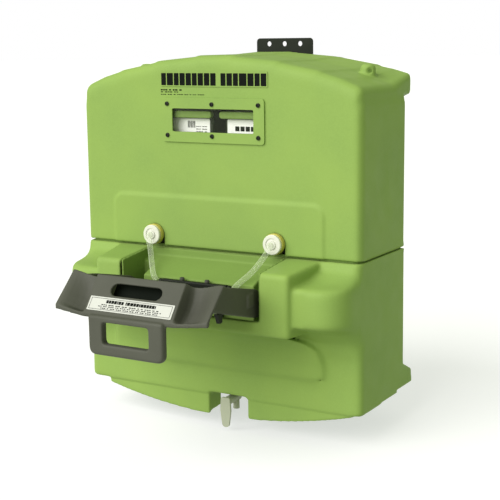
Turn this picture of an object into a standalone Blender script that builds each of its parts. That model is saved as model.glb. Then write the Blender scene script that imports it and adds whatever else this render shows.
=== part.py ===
"""Wall-hung eyewash station fed by two sealed fluid cartridges.

Every sub-part is drawn in the shell frame: X to the right, Y from the front plane of the cover towards the
wall, Z up from the seam between the cover and the lower housing. The "station" empty then carries the whole
assembly to the world, whose origin is on the back face of the wall bracket.
"""

import math

import bmesh
import bpy
from mathutils import Vector

# Driving dimensions, in metres ---------------------------------------------------------------------------

BODY_DEPTH = 0.285  # front plane of the cover to the wall
MOUNT_HEIGHT = 0.365  # seam to the wall bracket's reference point
GAP = 0.0003  # clearance between neighbouring pieces

HALF_WIDTH = 0.305
SIDE_FLARE = 0.0079  # half-width gained per metre of drop
SIDE_DEPTH = 0.199  # front plane to the rear edge of the side walls
RIM_BACK_Y = 0.240  # rear face of the rims that stand out behind the side walls
BACK_Y = 0.262  # rear rim of both shells
RECESS_X = 0.265  # half-width of the shells behind the side walls

COVER_WALL = 0.004
COVER_FRONT_ROUND = 0.017
LIP_HEIGHT = (0.275, 0.2905)  # underside of the cover's rear rim
COVER_TOP_FRONT = (  # right half of the cover's stepped top, from the middle out, near the front
    (0.040, 0.3665),
    (0.046, 0.3640),
    (0.133, 0.3562),
    (0.139, 0.3530),
    (0.217, 0.3385),
    (0.224, 0.3350),
    (0.259, 0.3255),
)
COVER_TOP_BACK = (  # the same at the rear rim, which stands a little higher
    (0.040, 0.3700),
    (0.046, 0.3685),
    (0.141, 0.3605),
    (0.147, 0.3588),
    (0.222, 0.3457),
    (0.228, 0.3425),
    (0.262, 0.3370),
)
COVER_RISE_Y = (0.150, 0.235)  # depths between which the top rises from one to the other
SHOULDER_FRONT = (0.303, 0.3080, 0.018)  # x, z, radius
SHOULDER_BACK = (0.299, 0.3270, 0.009)

HOUSING_WALL = 0.005
HOUSING_TOP = -0.003
HOUSING_BOTTOM = -0.289
BOTTOM_STEPS = ((0.0953, -0.2840), (0.1667, -0.2795))  # y, z of the steps in the underside
BLOCK_FRONT = -0.099
BLOCK_BOTTOM = -0.1315
MOUTH_HALF = 0.152  # half-width of the mouth cut in the block
SILL_Z = -0.1035

SPOUT_X, SPOUT_Z = 0.1342, 0.0227
SPOUT_NECK_R = 0.0155
TUBE_R = 0.00525

WINDOW_HALF = 0.092
WINDOW_Z = (0.221, 0.270)
WINDOW_SCREW_X = (-0.100, 0.0, 0.100)
WINDOW_SCREW_Z = (0.2165, 0.276)

PIVOT = Vector((0.0, -0.060, -0.080))
PIVOT_PIN_R = 0.004
LEVER_X = (0.133, 0.141)  # inner and outer face of the arm's side levers
PLATE_TOP = Vector((-0.243, -0.011))  # y, z of the rear edge of the arm's sloping plate
PLATE_FOOT = Vector((-0.2885, -0.072))  # y, z of its front edge
WING_HALF = 0.160
SCOOP_X = (0.094, 0.153)
SCOOP_DEPTH = 0.026
WING_LEAN, WING_RISE = 0.015, 0.008  # how far a wing's outer end leans back at its top, and is cut short at its foot
PLATE_MARKS = tuple(sorted({sign * mark for sign in (-1, 1) for mark in (
    0.0, 0.0905, 0.0935, 0.096, 0.099, 0.103, 0.111, 0.120, 0.129, 0.138, 0.146, 0.153, 0.157, 0.160)}))
HANDLE_HALF = 0.0787
HANDLE_GAP_HALF = 0.0485
HANDLE_GAP_Z = (-0.123, -0.084)
HANDLE_Y = (-0.2965, -0.2800)
HANDLE_BOTTOM = -0.144

NOZZLE_X = 0.0276
NOZZLE_Y = -0.0735
NOZZLE_BAR_TOP = -0.0485

VALVE_X, VALVE_Z = 0.023, -0.2958
VALVE_NECK_Y = 0.026

BRACKET_HALF = 0.065
BRACKET_TOP = 0.397
BRACKET_HOLE_Z = 0.3856
BRACKET_HOLE_X = (-0.036, 0.0, 0.036)

# colour, roughness, metallic
FINISHES = {
    "green_shell": ((0.34, 0.54, 0.14), 0.42, 0.0),
    "green_liner": ((0.28, 0.46, 0.12), 0.45, 0.0),
    "grey_plastic": ((0.12, 0.12, 0.10), 0.50, 0.0),
    "black_plastic": ((0.02, 0.02, 0.02), 0.45, 0.0),
    "black_steel": ((0.02, 0.025, 0.022), 0.40, 0.6),
    "white_plastic": ((0.80, 0.80, 0.76), 0.40, 0.0),
    "yellow_plastic": ((0.80, 0.68, 0.12), 0.40, 0.0),
    "clear_plastic": ((0.85, 0.90, 0.82), 0.10, 0.0),
    "cream_plastic": ((0.62, 0.64, 0.52), 0.35, 0.0),
    "label": ((0.85, 0.85, 0.85), 0.50, 0.0),
    "rubber": ((0.03, 0.03, 0.03), 0.80, 0.0),
    "steel": ((0.55, 0.55, 0.55), 0.30, 1.0),
}

AXES = {
    "x": Vector((1.0, 0.0, 0.0)),
    "y": Vector((0.0, 1.0, 0.0)),
    "z": Vector((0.0, 0.0, 1.0)),
}


# Building blocks -----------------------------------------------------------------------------------------


def clear_scene():
    for obj in list(bpy.data.objects):
        bpy.data.objects.remove(obj, do_unlink=True)


def finish(name):
    """The named Principled material."""
    material = bpy.data.materials.get(name)
    if material is None:
        colour, roughness, metallic = FINISHES[name]
        material = bpy.data.materials.new(name)
        material.use_nodes = True
        shader = material.node_tree.nodes["Principled BSDF"]
        shader.inputs["Base Color"].default_value = (*colour, 1.0)
        shader.inputs["Roughness"].default_value = roughness
        shader.inputs["Metallic"].default_value = metallic
    return material


def add_object(name, data, material=None):
    if material:
        data.materials.append(finish(material))
    obj = bpy.data.objects.new(name, data)
    bpy.context.scene.collection.objects.link(obj)
    return obj


def solid(name, points, faces, material=None, smooth=None):
    """A closed mesh facing out; smooth is the angle, in degrees, below which edges are shaded smooth."""
    bm = bmesh.new()
    vertices = [bm.verts.new(point) for point in points]
    for face in faces:
        bm.faces.new([vertices[i] for i in face])
    bmesh.ops.remove_doubles(bm, verts=bm.verts, dist=1e-6)
    bmesh.ops.recalc_face_normals(bm, faces=bm.faces)
    mesh = bpy.data.meshes.new(name)
    bm.to_mesh(mesh)
    bm.free()
    if smooth:
        mesh.shade_smooth()
        mesh.set_sharp_from_angle(angle=math.radians(smooth))
    return add_object(name, mesh, material)


def loft(name, rings, material=None, smooth=35):
    """A solid through closed rings with the same number of points, capped at both ends."""
    count = len(rings[0])
    points = [point for ring in rings for point in ring]
    faces = []
    for level in range(len(rings) - 1):
        low, high = level * count, (level + 1) * count
        for i in range(count):
            j = (i + 1) % count
            faces.append((low + i, low + j, high + j, high + i))
    faces.append(tuple(range(count)))
    faces.append(tuple(range(len(points) - count, len(points))))
    return solid(name, points, faces, material, smooth)


def prism(name, outline, axis, low, high, material=None, smooth=None):
    """An outline drawn in the other two axes, in X, Y, Z order, extruded along axis from low to high."""
    index = "xyz".index(axis)
    rings = []
    for level in (low, high):
        ring = []
        for point in outline:
            coordinates = list(point)
            coordinates.insert(index, level)
            ring.append(Vector(coordinates))
        rings.append(ring)
    return loft(name, rings, material, smooth)


def box(name, low, high, material=None):
    outline = [(low[0], low[1]), (high[0], low[1]), (high[0], high[1]), (low[0], high[1])]
    return prism(name, outline, "z", low[2], high[2], material)


def turned(name, profile, centre, axis, material=None, segments=32):
    """A solid of revolution: profile runs in (radius, height) from the axis, or closes round a bore."""
    on_axis = profile[0][0] == 0.0
    along = AXES[axis] if isinstance(axis, str) else Vector(axis).normalized()
    aside = along.orthogonal().normalized()
    across = along.cross(aside)
    centre = Vector(centre)
    points, faces = [], []
    for radius, height in profile:
        for k in range(1 if radius == 0.0 else segments):
            turn = 2 * math.pi * k / segments
            points.append(centre + along * height + (aside * math.cos(turn) + across * math.sin(turn)) * radius)
    starts = []
    for radius, _ in profile:
        starts.append(sum(starts[-1:]) + (0 if not starts else width))
        width = 1 if radius == 0.0 else segments
    pairs = list(zip(range(len(profile)), range(1, len(profile))))
    if not on_axis:
        pairs.append((len(profile) - 1, 0))
    for a, b in pairs:
        for k in range(segments):
            n = (k + 1) % segments
            if profile[a][0] == 0.0:
                faces.append((starts[a], starts[b] + k, starts[b] + n))
            elif profile[b][0] == 0.0:
                faces.append((starts[a] + k, starts[b], starts[a] + n))
            else:
                faces.append((starts[a] + k, starts[b] + k, starts[b] + n, starts[a] + n))
    return solid(name, points, faces, material, 40)


def cylinder(name, centre, axis, radius, low, high, material=None, segments=32):
    profile = [(0.0, low), (radius, low), (radius, high), (0.0, high)]
    return turned(name, profile, centre, axis, material, segments)


def ring(name, centre, axis, bore, radius, low, high, material=None, segments=32):
    profile = [(bore, low), (radius, low), (radius, high), (bore, high)]
    return turned(name, profile, centre, axis, material, segments)


def rounded(corners, steps=4):
    """A closed outline through (a, b) corners; a third number rounds that corner with an arc."""
    outline = []
    for i, corner in enumerate(corners):
        here = Vector(corner[:2])
        radius = corner[2] if len(corner) > 2 else 0.0
        if not radius:
            outline.append(tuple(here))
            continue
        before = (Vector(corners[i - 1][:2]) - here).normalized()
        after = (Vector(corners[(i + 1) % len(corners)][:2]) - here).normalized()
        half = before.angle(after) / 2
        centre = here + (before + after).normalized() * radius / math.sin(half)
        start = here + before * radius / math.tan(half) - centre
        sweep = math.pi - 2 * half
        turn = 1.0 if before.x * after.y - before.y * after.x < 0 else -1.0
        for step in range(steps + 1):
            angle = turn * sweep * step / steps
            cosine, sine = math.cos(angle), math.sin(angle)
            spoke = Vector((start.x * cosine - start.y * sine, start.x * sine + start.y * cosine))
            outline.append(tuple(centre + spoke))
    return outline


def rectangle(half_width, low, high, radius=0.0, middle=0.0):
    corners = [
        (middle - half_width, low),
        (middle + half_width, low),
        (middle + half_width, high),
        (middle - half_width, high),
    ]
    return rounded([(*corner, radius) for corner in corners]) if radius else corners


def combine(obj, tool, operation):
    """Adds a live Boolean and hides its tool, which then follows the object."""
    modifier = obj.modifiers.new(operation.lower(), "BOOLEAN")
    modifier.operation = operation
    modifier.solver = "EXACT"
    modifier.object = tool
    tool.hide_render = True
    tool.display_type = "WIRE"
    tool.parent = obj


def cut(obj, *tools):
    for tool in tools:
        combine(obj, tool, "DIFFERENCE")


def join(obj, *tools):
    for tool in tools:
        combine(obj, tool, "UNION")


def bevel(obj, width, segments=3, angle=30):
    modifier = obj.modifiers.new("bevel", "BEVEL")
    modifier.width = width
    modifier.segments = segments
    modifier.angle_limit = math.radians(angle)


def sides():
    """Name suffix and sign of the two mirrored sides."""
    return (("left", -1), ("right", 1))


# Lift-off cover ------------------------------------------------------------------------------------------


def between(first, second, share):
    return [a + (b - a) * share for a, b in zip(first, second)]


def cover_ring(y, inset_x=0.0, inset_z=0.0, stage="side", bottom=0.0):
    """The cover's front-view outline at depth y: the side walls, the rear rim over its recess, or behind the rim."""
    lip_low, lip_high = (z + (-inset_z if stage == "side" else inset_z) for z in LIP_HEIGHT)
    share = min(1.0, max(0.0, (y - COVER_RISE_Y[0]) / (COVER_RISE_Y[1] - COVER_RISE_Y[0])))
    shoulder_x, shoulder_z, radius = between(SHOULDER_FRONT, SHOULDER_BACK, share)
    slope = [between(*pair, share) for pair in zip(COVER_TOP_FRONT, COVER_TOP_BACK)]
    if stage == "back":
        shoulder_x, shoulder_z, radius = RECESS_X, 0.3290, 0.006
        slope[-1] = [RECESS_X - 0.012, 0.3375]
    corners = [
        ((HALF_WIDTH if stage == "side" else RECESS_X) - inset_x, bottom),
        ((HALF_WIDTH if stage == "side" else RECESS_X) - inset_x, lip_low),
        (shoulder_x - 0.0002 - inset_x, lip_high),
        (shoulder_x - inset_x, shoulder_z - inset_z, radius - min(inset_x, radius - 0.003)),
    ]
    corners += [(x - inset_x, z - inset_z) for x, z in reversed(slope)]
    right = rounded([*corners, (0.0, corners[-1][1])])[:-1]
    left = [(-x, z) for x, z in reversed(right)]
    return [Vector((x, y, z)) for x, z in right + left]


def cover_hood(name, wall, bottom, back):
    """The hood's outer form, or with a wall its hollow, as rings from front to back."""
    rings = []
    for step in range(5):
        turn = math.pi / 2 * step / 4
        shrink = 1.0 - math.sin(turn)
        y = wall + (COVER_FRONT_ROUND - wall) * (1.0 - math.cos(turn))
        rings.append(cover_ring(y, wall + 0.013 * shrink, wall + 0.019 * shrink, bottom=bottom))
    rings.append(cover_ring(COVER_RISE_Y[0], wall, wall, bottom=bottom))
    rings.append(cover_ring(SIDE_DEPTH - wall, wall, wall, bottom=bottom))
    rings.append(cover_ring(SIDE_DEPTH - wall + 0.001, wall, wall, "rim", bottom))
    rings.append(cover_ring(RIM_BACK_Y - wall - 0.004, wall, wall, "rim", bottom))
    rings.append(cover_ring(RIM_BACK_Y - wall, wall + 0.004, wall + 0.001, "rim", bottom))
    rings.append(cover_ring(RIM_BACK_Y - wall + 0.001, wall, wall + 0.001, "back", bottom))
    rings.append(cover_ring(back, wall, wall + 0.002, "back", bottom))
    return loft(name, rings, None if wall else "green_shell")


def boss_places():
    """Name, top and the way its screw faces, of the lug at each shoulder."""
    turn = math.radians(38.0)
    return [(suffix, Vector((sign * 0.250, 0.147, 0.348)), Vector((sign * math.sin(turn), -math.cos(turn), 0.0)))
            for suffix, sign in sides()]


def spout_notch(suffix, sign):
    """U-shaped notch in the cover's lower edge, through which a cartridge's spout leaves."""
    outline = [(sign * SPOUT_X - 0.0175, -0.02), (sign * SPOUT_X + 0.0175, -0.02)]
    for step in range(9):
        turn = math.pi * step / 8
        outline.append((sign * SPOUT_X + 0.0175 * math.cos(turn), SPOUT_Z + 0.0175 * math.sin(turn)))
    return prism(f"notch_{suffix}", outline, "y", -0.02, 0.015)


def window_screw_places():
    return [(x, z) for z in WINDOW_SCREW_Z for x in WINDOW_SCREW_X]


def screw_holes(name):
    """One cutter for all the window screws."""
    holes = [cylinder(f"{name}_{i}", (x, 0.0, z), "y", 0.0021, -0.01, 0.02, segments=16)
             for i, (x, z) in enumerate(window_screw_places())]
    for hole in holes[1:]:
        join(holes[0], hole)
    return holes[0]


def top_cover():
    cover = cover_hood("top_cover", 0.0, 0.0, BACK_Y)
    for suffix, top, _ in boss_places():
        profile = [(0.0, -0.027), (0.0145, -0.027), (0.0145, -0.0085), (0.0128, -0.0035), (0.0085, -0.0005),
                   (0.0, 0.0)]
        join(cover, turned(f"boss_{suffix}", profile, top, "z"))
    cut(cover, cover_hood("cover_hollow", COVER_WALL, -0.02, BACK_Y + 0.02))
    window = rectangle(WINDOW_HALF, *WINDOW_Z, radius=0.004)
    cut(cover, prism("window_cut", window, "y", -0.01, 0.015))
    cut(cover, *(spout_notch(suffix, sign) for suffix, sign in sides()))
    cut(cover, screw_holes("cover_holes"))
    for suffix, top, facing in boss_places():
        hole = [(0.0, 0.002), (0.0027, 0.002), (0.0027, 0.0092), (0.0050, 0.0092), (0.0050, 0.02), (0.0, 0.02)]
        cut(cover, turned(f"boss_hole_{suffix}", hole, top - Vector((0.0, 0.0, 0.0125)), facing))
    return cover


def window_frame(name, outer, inner, low, high, material):
    frame = prism(name, outer, "y", low, high, material)
    cut(frame, prism(f"{name}_opening", inner, "y", low - 0.01, high + 0.01))
    return frame


def window_parts():
    low, high = WINDOW_Z
    sight = rectangle(WINDOW_HALF - 0.0025, low + 0.0025, high - 0.0025, radius=0.003)
    seat = rectangle(WINDOW_HALF - 0.0005, low + 0.0005, high - 0.0005, radius=0.0036)
    bezel = window_frame(
        "window_bezel", rectangle(0.112, 0.204, 0.288, radius=0.006), sight, -0.0033, -GAP, "green_shell"
    )
    cut(bezel, screw_holes("bezel_holes"))
    gasket = window_frame("window_gasket", seat, sight, 0.0, 0.0012, "rubber")
    lens = prism("window_lens", seat, "y", 0.0015, 0.0035, "clear_plastic")
    screws = []
    for i, (x, z) in enumerate(window_screw_places(), 1):
        profile = [(0.0, -0.0085), (0.0017, -0.0085), (0.0017, 0.0036), (0.00425, 0.0036), (0.0040, 0.0056),
                   (0.0022, 0.0064), (0.0022, 0.0050), (0.0, 0.0050)]
        screws.append(turned(f"window_screw_{i}", profile, (x, 0.0, z), (0, -1, 0), "black_plastic", 20))
    return [bezel, gasket, lens, *screws]


def header_sign():
    outline = rectangle(0.1175, 0.3085, 0.3370, radius=0.002, middle=0.0015)
    return prism("header_sign", outline, "y", -0.0013, -GAP, "label")


def cover_screws():
    profile = [(0.0, 0.0023), (0.0023, 0.0023), (0.0023, 0.0096), (0.0046, 0.0096), (0.0044, 0.0122),
               (0.0024, 0.0126), (0.0024, 0.0112), (0.0, 0.0112)]
    return [turned(f"cover_screw_{suffix}", profile, top - Vector((0.0, 0.0, 0.0125)), facing, "black_plastic", 24)
            for suffix, top, facing in boss_places()]


# Lower housing and basin ---------------------------------------------------------------------------------


def plan_ring(z, front, corner, inset=0.0, lip=False, half=None, back=None):
    """The housing's plan outline at height z, recessed behind the side walls except at the lower lip."""
    half = half or HALF_WIDTH - SIDE_FLARE * z - inset
    back = back or BACK_Y - inset
    right = []
    for step in range(6):
        turn = math.pi / 2 * step / 5
        right.append((half - corner + corner * math.sin(turn), front + corner - corner * math.cos(turn)))
    inner = half - (HALF_WIDTH - RECESS_X)
    side_back = (RIM_BACK_Y if lip else SIDE_DEPTH) - inset
    right += [(half, side_back), (inner, side_back), (inner, back)]
    left = [(-x, y) for x, y in reversed(right)]
    return [Vector((x, y, z)) for x, y in right + left]


def housing_tub():
    levels = (  # z, front, corner radius, down the hips and the tank
        (HOUSING_TOP, 0.0, 0.014),
        (-0.012, -0.003, 0.016),
        (-0.021, -0.007, 0.020),
        (-0.031, -0.0305, 0.040),
        (-0.035, -0.047, 0.050),
        (-0.039, -0.083, 0.052),
        (-0.046, -0.088, 0.052),
        (-0.1095, -0.088, 0.052),
        (-0.125, -0.043, 0.045),
        (-0.1515, -0.011, 0.030),
        (-0.185, 0.0, 0.014),
        (-0.232, 0.0, 0.014),
    )
    rings = [plan_ring(*level) for level in levels]
    rings.append(plan_ring(-0.252, 0.0, 0.014, lip=True))
    rings.append(plan_ring(-0.284, 0.0, 0.014, lip=True))
    rings.append(plan_ring(HOUSING_BOTTOM, 0.005, 0.012, inset=0.005, lip=True))
    return loft("lower_housing", rings, "green_shell")


def housing_hollow():
    wall = HOUSING_WALL
    levels = (
        (-0.0085, 0.0055, 0.010),
        (-0.026, -0.002, 0.016),
        (-0.036, -0.026, 0.036),
        (-0.0405, -0.043, 0.046),
        (-0.0445, -0.078, 0.047),
        (-0.051, -0.083, 0.047),
        (-0.106, -0.083, 0.047),
        (-0.1205, -0.040, 0.041),
        (-0.1485, -0.006, 0.026),
        (-0.184, 0.005, 0.010),
        (-0.237, 0.005, 0.010),
    )
    rings = [plan_ring(z, 0.020, 0.010, half=0.285, back=0.240) for z in (0.01, -0.0085)]
    rings += [plan_ring(*level, inset=wall) for level in levels]
    rings.append(plan_ring(-0.259, 0.005, 0.010, inset=wall, lip=True))
    rings.append(plan_ring(-0.2705, 0.005, 0.010, inset=wall, lip=True))
    rings.append(plan_ring(-0.2745, 0.009, 0.010, inset=wall + 0.004, lip=True))
    return loft("housing_hollow", rings)


def block(name, inset=0.0):
    """The centre block: its sides close in towards the front."""
    front, bottom, back = BLOCK_FRONT + inset, BLOCK_BOTTOM + inset, 0.006 + inset
    top_back, top_front = HOUSING_TOP - inset * 1.1, -0.0148 - inset * 1.1
    profile = [(back, bottom), (back, top_back), (front, top_front), (front, bottom)]
    rings = []
    for sign in (-1, 1):
        rings.append([Vector((sign * (0.2278 - inset + 0.169 * (y - 0.005)), y, z)) for y, z in profile])
    return loft(name, rings, smooth=None)


def belly(name, inset=0.0):
    """The arched panel that carries the block's underside back to the tank."""
    levels = (  # z, half-width, front
        (-0.1312, 0.150, -0.0800),
        (-0.1400, 0.172, -0.0560),
        (-0.1520, 0.207, -0.0340),
        (-0.1670, 0.228, -0.0215),
        (-0.1980, 0.2365, -0.0125),
        (-0.2250, 0.2350, -0.0100),
        (-0.2350, 0.2090, 0.0010),
    )
    rings = []
    for z, half, front in levels:
        y, x = front + inset, half - inset
        rings.append([Vector(p) for p in ((-x, 0.02, z), (-x, y, z), (x, y, z), (x, 0.02, z))])
    return loft(name, rings, smooth=None)


def skirt():
    """The apron that hangs below the tank, with an arched lower edge."""
    left, right, steps = -0.262, 0.288, 14
    outline = [(left, -0.275), (right, -0.275)]
    for step in range(steps + 1):
        x = right + (left - right) * step / steps
        outline.append((x, -0.3308 + x ** 2 / 2.1))
    return prism("skirt", outline, "y", 0.0012, 0.0072)


def notch_cheeks():
    """Webs that close the drain notch off from the space behind the skirt, joined by the housing's floor."""
    cheeks = []
    for name, near, far in (("left", -0.0262, -0.0212), ("right", 0.0652, 0.0702)):
        outline = [(0.0030, -0.2800), (0.0030, -0.3275), (0.0480, -0.3225), (0.0480, -0.2800)]
        cheeks.append(prism(f"notch_cheek_{name}", outline, "x", near, far))
    return cheeks


def lower_housing():
    housing = housing_tub()
    outer_block = block("block")
    bevel(outer_block, 0.007)
    join(housing, outer_block, belly("belly"), skirt(), *notch_cheeks())
    hollow = housing_hollow()
    join(hollow, block("block_hollow", HOUSING_WALL), belly("belly_hollow", HOUSING_WALL))
    cut(housing, hollow)
    mouth = (-MOUTH_HALF, -0.14, SILL_Z), (MOUTH_HALF, 0.0045, 0.01)
    cut(housing, box("mouth", *mouth))
    cut(housing, box("drain_notch", (-0.021, -0.02, -0.36), (0.065, 0.009, -0.2835)))
    cut(housing, box("valve_bed", (-0.0208, 0.0088, -0.36), (0.0648, 0.0440, -0.2868)))
    for y, z in BOTTOM_STEPS:
        cut(housing, box(f"bottom_step_{y}", (-0.35, y, -0.40), (0.35, 0.30, z)))
    cut(housing, cylinder("drain_hole", (VALVE_X, VALVE_NECK_Y, 0.0), "z", 0.0068, -0.30, -0.26, segments=24))
    return housing


def basin_liner():
    """The green liner of the mouth: splash panel, trough, and a channel on each side for the arm's levers."""
    half, wall, floor = 0.1515, 0.003, -0.118
    trough_front, trough_back, channel_back = -0.0905, -0.065, -0.022
    outline = [(-0.0935, floor - wall), (-0.0935, -0.0152), (0.0, -0.0042), (0.004, -0.0042), (0.004, floor - wall)]
    liner = prism("basin_liner", outline, "x", -half, half, "green_liner")
    mouth = [(-0.12, 0.02), (-0.12, SILL_Z), (trough_front, SILL_Z), (trough_front, floor)]
    centre = [*mouth, (trough_back, floor), (trough_back, -0.047), (0.0, -0.020), (0.0, 0.02)]
    channel = [*mouth, (channel_back, floor), (channel_back, -0.030), (0.0, -0.020), (0.0, 0.02)]
    cut(liner, prism("mouth_void", centre, "x", -0.125, 0.125))
    below_centre = [(-0.062, -0.13), (-0.062, -0.0492), (-0.002, -0.0243), (0.02, -0.0243), (0.02, -0.13)]
    cut(liner, prism("splash_hollow", below_centre, "x", -0.1195, 0.1195))
    for suffix, sign in sides():
        near, far = sorted((sign * 0.1225, sign * (half - wall)))
        cut(liner, prism(f"channel_void_{suffix}", channel, "x", near, far))
        near, far = sorted((sign * 0.1255, sign * (half - wall)))
        behind = [(-0.019, -0.13), (-0.019, -0.0330), (0.02, -0.0330), (0.02, -0.13)]
        cut(liner, prism(f"channel_hollow_{suffix}", behind, "x", near, far))
        cut(liner, cylinder(f"pin_hole_{suffix}", PIVOT, "x", PIVOT_PIN_R + GAP, sign * 0.150 - 0.004,
                            sign * 0.150 + 0.004, segments=24))
    drain = rectangle(0.050, -0.083, -0.073, radius=0.0045)
    cut(liner, prism("basin_drain", drain, "z", floor - 0.01, floor + 0.005))
    return liner


def cartridge_shelf():
    outline = rounded([(-0.2995, 0.007, 0.018), (0.2995, 0.007, 0.018), (0.2995, 0.194), (0.2560, 0.194),
                       (0.2560, 0.250), (-0.2560, 0.250), (-0.2560, 0.194), (-0.2995, 0.194)])
    return prism("cartridge_shelf", outline, "z", -0.0027, 0.0023, "green_liner")


def back_panel():
    outline = [(-0.258, -0.262), (0.258, -0.262), (0.258, 0.290), (0.200, 0.318), (0.0, 0.342), (-0.200, 0.318),
               (-0.258, 0.290)]
    panel = prism("back_panel", outline, "y", BACK_Y + 0.0005, BACK_Y + 0.0045, "green_liner")
    for i, x in enumerate(bracket_screw_x()):
        cut(panel, cylinder(f"panel_hole_{i}", (x, 0.0, 0.262), "y", 0.0028, 0.25, 0.28, segments=16))
    return panel


# Wall bracket --------------------------------------------------------------------------------------------


def bracket_screw_x():
    return (-0.036, 0.036)


def wall_bracket():
    """Z-section hanger: a flange on the back panel, and a tab with three holes against the wall."""
    front, wall, sheet = BACK_Y + 0.0048, BODY_DEPTH, 0.003
    section = [(front, 0.235), (front + sheet, 0.235), (front + sheet, 0.300), (wall, 0.300), (wall, BRACKET_TOP),
               (wall - sheet, BRACKET_TOP), (wall - sheet, 0.303), (front, 0.303)]
    bracket = prism("wall_bracket", section, "x", -BRACKET_HALF, BRACKET_HALF, "black_steel")
    corner = 0.007
    for suffix, sign in sides():
        x, z = sign * BRACKET_HALF, BRACKET_TOP
        outline = [(x + sign * 0.002, z - corner), (x + sign * 0.002, z + 0.002), (x - sign * corner, z + 0.002)]
        for step in range(5):
            turn = math.pi / 2 * step / 4
            outline.append((x - sign * corner * (1 - math.sin(turn)), z - corner * (1 - math.cos(turn))))
        cut(bracket, prism(f"tab_corner_{suffix}", outline, "y", 0.25, 0.30))
    for i, x in enumerate(BRACKET_HOLE_X):
        cut(bracket, cylinder(f"tab_hole_{i}", (x, 0.0, BRACKET_HOLE_Z), "y", 0.00525, 0.25, 0.30, segments=24))
    for i, x in enumerate(bracket_screw_x()):
        cut(bracket, cylinder(f"flange_hole_{i}", (x, 0.0, 0.262), "y", 0.0028, 0.25, 0.275, segments=16))
    return bracket


def bracket_screws():
    head = BACK_Y + 0.0081
    profile = [(0.0, head + 0.0030), (0.0045, head + 0.0024), (0.0050, head), (0.0025, head), (0.0025, 0.255),
               (0.0, 0.255)]
    return [turned(f"bracket_screw_{suffix}", profile, (sign * 0.036, 0.0, 0.262), "y", "steel", 20)
            for suffix, sign in sides()]


def wall_pads():
    return [cylinder(f"wall_pad_{suffix}", (sign * 0.200, 0.0, -0.235), "y", 0.020, BACK_Y + 0.0048, BODY_DEPTH,
                     "rubber") for suffix, sign in sides()]


# Cartridges and fluid path -------------------------------------------------------------------------------


def cartridge(suffix, sign):
    """Sealed fluid box with its spout neck at the lower front."""
    middle = sign * SPOUT_X
    outline = rounded([(middle - 0.121, 0.022, 0.005), (middle + 0.121, 0.022, 0.005), (middle + 0.121, 0.240, 0.018),
                       (middle - 0.121, 0.240, 0.018)])
    tank = prism(f"cartridge_{suffix}", outline, "z", 0.0027, 0.262, "white_plastic")
    tank.data.shade_smooth()
    tank.data.set_sharp_from_angle(angle=math.radians(30))
    join(tank, cylinder(f"neck_{suffix}", (middle, 0.0, SPOUT_Z), "y", SPOUT_NECK_R, -0.0122, 0.05))
    label = prism(f"cartridge_label_{suffix}", rectangle(0.095, 0.150, 0.2475, 0.003, sign * 0.1145), "y", 0.0207, 0.0217,
                  "label")
    return [tank, label]


def cartridge_handle(suffix, sign):
    """Moulded carrying bar in front of the cartridge's upper edge."""
    middle = sign * 0.053 - 0.001
    outline = rectangle(0.0440, 0.2490, 0.2625, radius=0.005, middle=middle)
    handle = prism(f"cartridge_handle_{suffix}", outline, "y", 0.0085, 0.0203, "green_liner")
    bevel(handle, 0.002, 2)
    return handle


def spout(suffix, sign):
    """Yellow closure ring on the neck, and the white cap that the tube leaves."""
    middle = (sign * SPOUT_X, 0.0, SPOUT_Z)
    closure = ring(f"spout_ring_{suffix}", middle, "y", SPOUT_NECK_R + GAP, 0.0200, -0.0125, -0.0040,
                   "yellow_plastic", 40)
    profile = [(0.0, 0.0128), (0.0185, 0.0128), (0.0188, 0.0180), (0.0175, 0.0192), (0.0125, 0.0192),
               (0.0125, 0.0178), (0.0085, 0.0178), (0.0080, 0.0200), (0.0, 0.0200)]
    cap = turned(f"spout_cap_{suffix}", profile, middle, (0, -1, 0), "white_plastic", 40)
    return [closure, cap]


def supply_tube(suffix, sign):
    """Clear tube from the cap to the elbow on the nozzle bar."""
    route = (
        (0.1342, -0.0204, 0.0227),
        (0.1342, -0.0245, 0.0227),
        (0.1340, -0.0283, 0.0200),
        (0.1326, -0.0302, 0.0132),
        (0.1276, -0.0322, 0.0036),
        (0.1190, -0.0425, -0.0128),
        (0.1085, -0.0550, -0.0290),
        (0.0985, -0.0670, -0.0390),
        (0.0915, -0.0735, -0.0470),
        (0.0855, -0.0735, -0.0540),
    )
    curve = bpy.data.curves.new(f"supply_tube_{suffix}", "CURVE")
    curve.dimensions = "3D"
    curve.bevel_depth = TUBE_R
    curve.bevel_resolution = 3
    curve.use_fill_caps = True
    spline = curve.splines.new("POLY")
    spline.points.add(len(route) - 1)
    for point, (x, y, z) in zip(spline.points, route):
        point.co = (sign * x, y, z, 1.0)
    return add_object(f"supply_tube_{suffix}", curve, "clear_plastic")


def nozzle_bar():
    bar = prism("nozzle_bar", rounded([(-0.079, -0.0605), (-0.068, -0.0605), (-0.068, NOZZLE_BAR_TOP, 0.003),
                                       (-0.079, NOZZLE_BAR_TOP, 0.003)]), "x", -0.071, 0.071, "black_plastic", 40)
    for suffix, sign in sides():
        post = (sign * 0.055 - 0.004, -0.0785, -0.1177), (sign * 0.055 + 0.004, -0.0685, -0.058)
        join(bar, box(f"bar_post_{suffix}", *post))
    return bar


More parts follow.
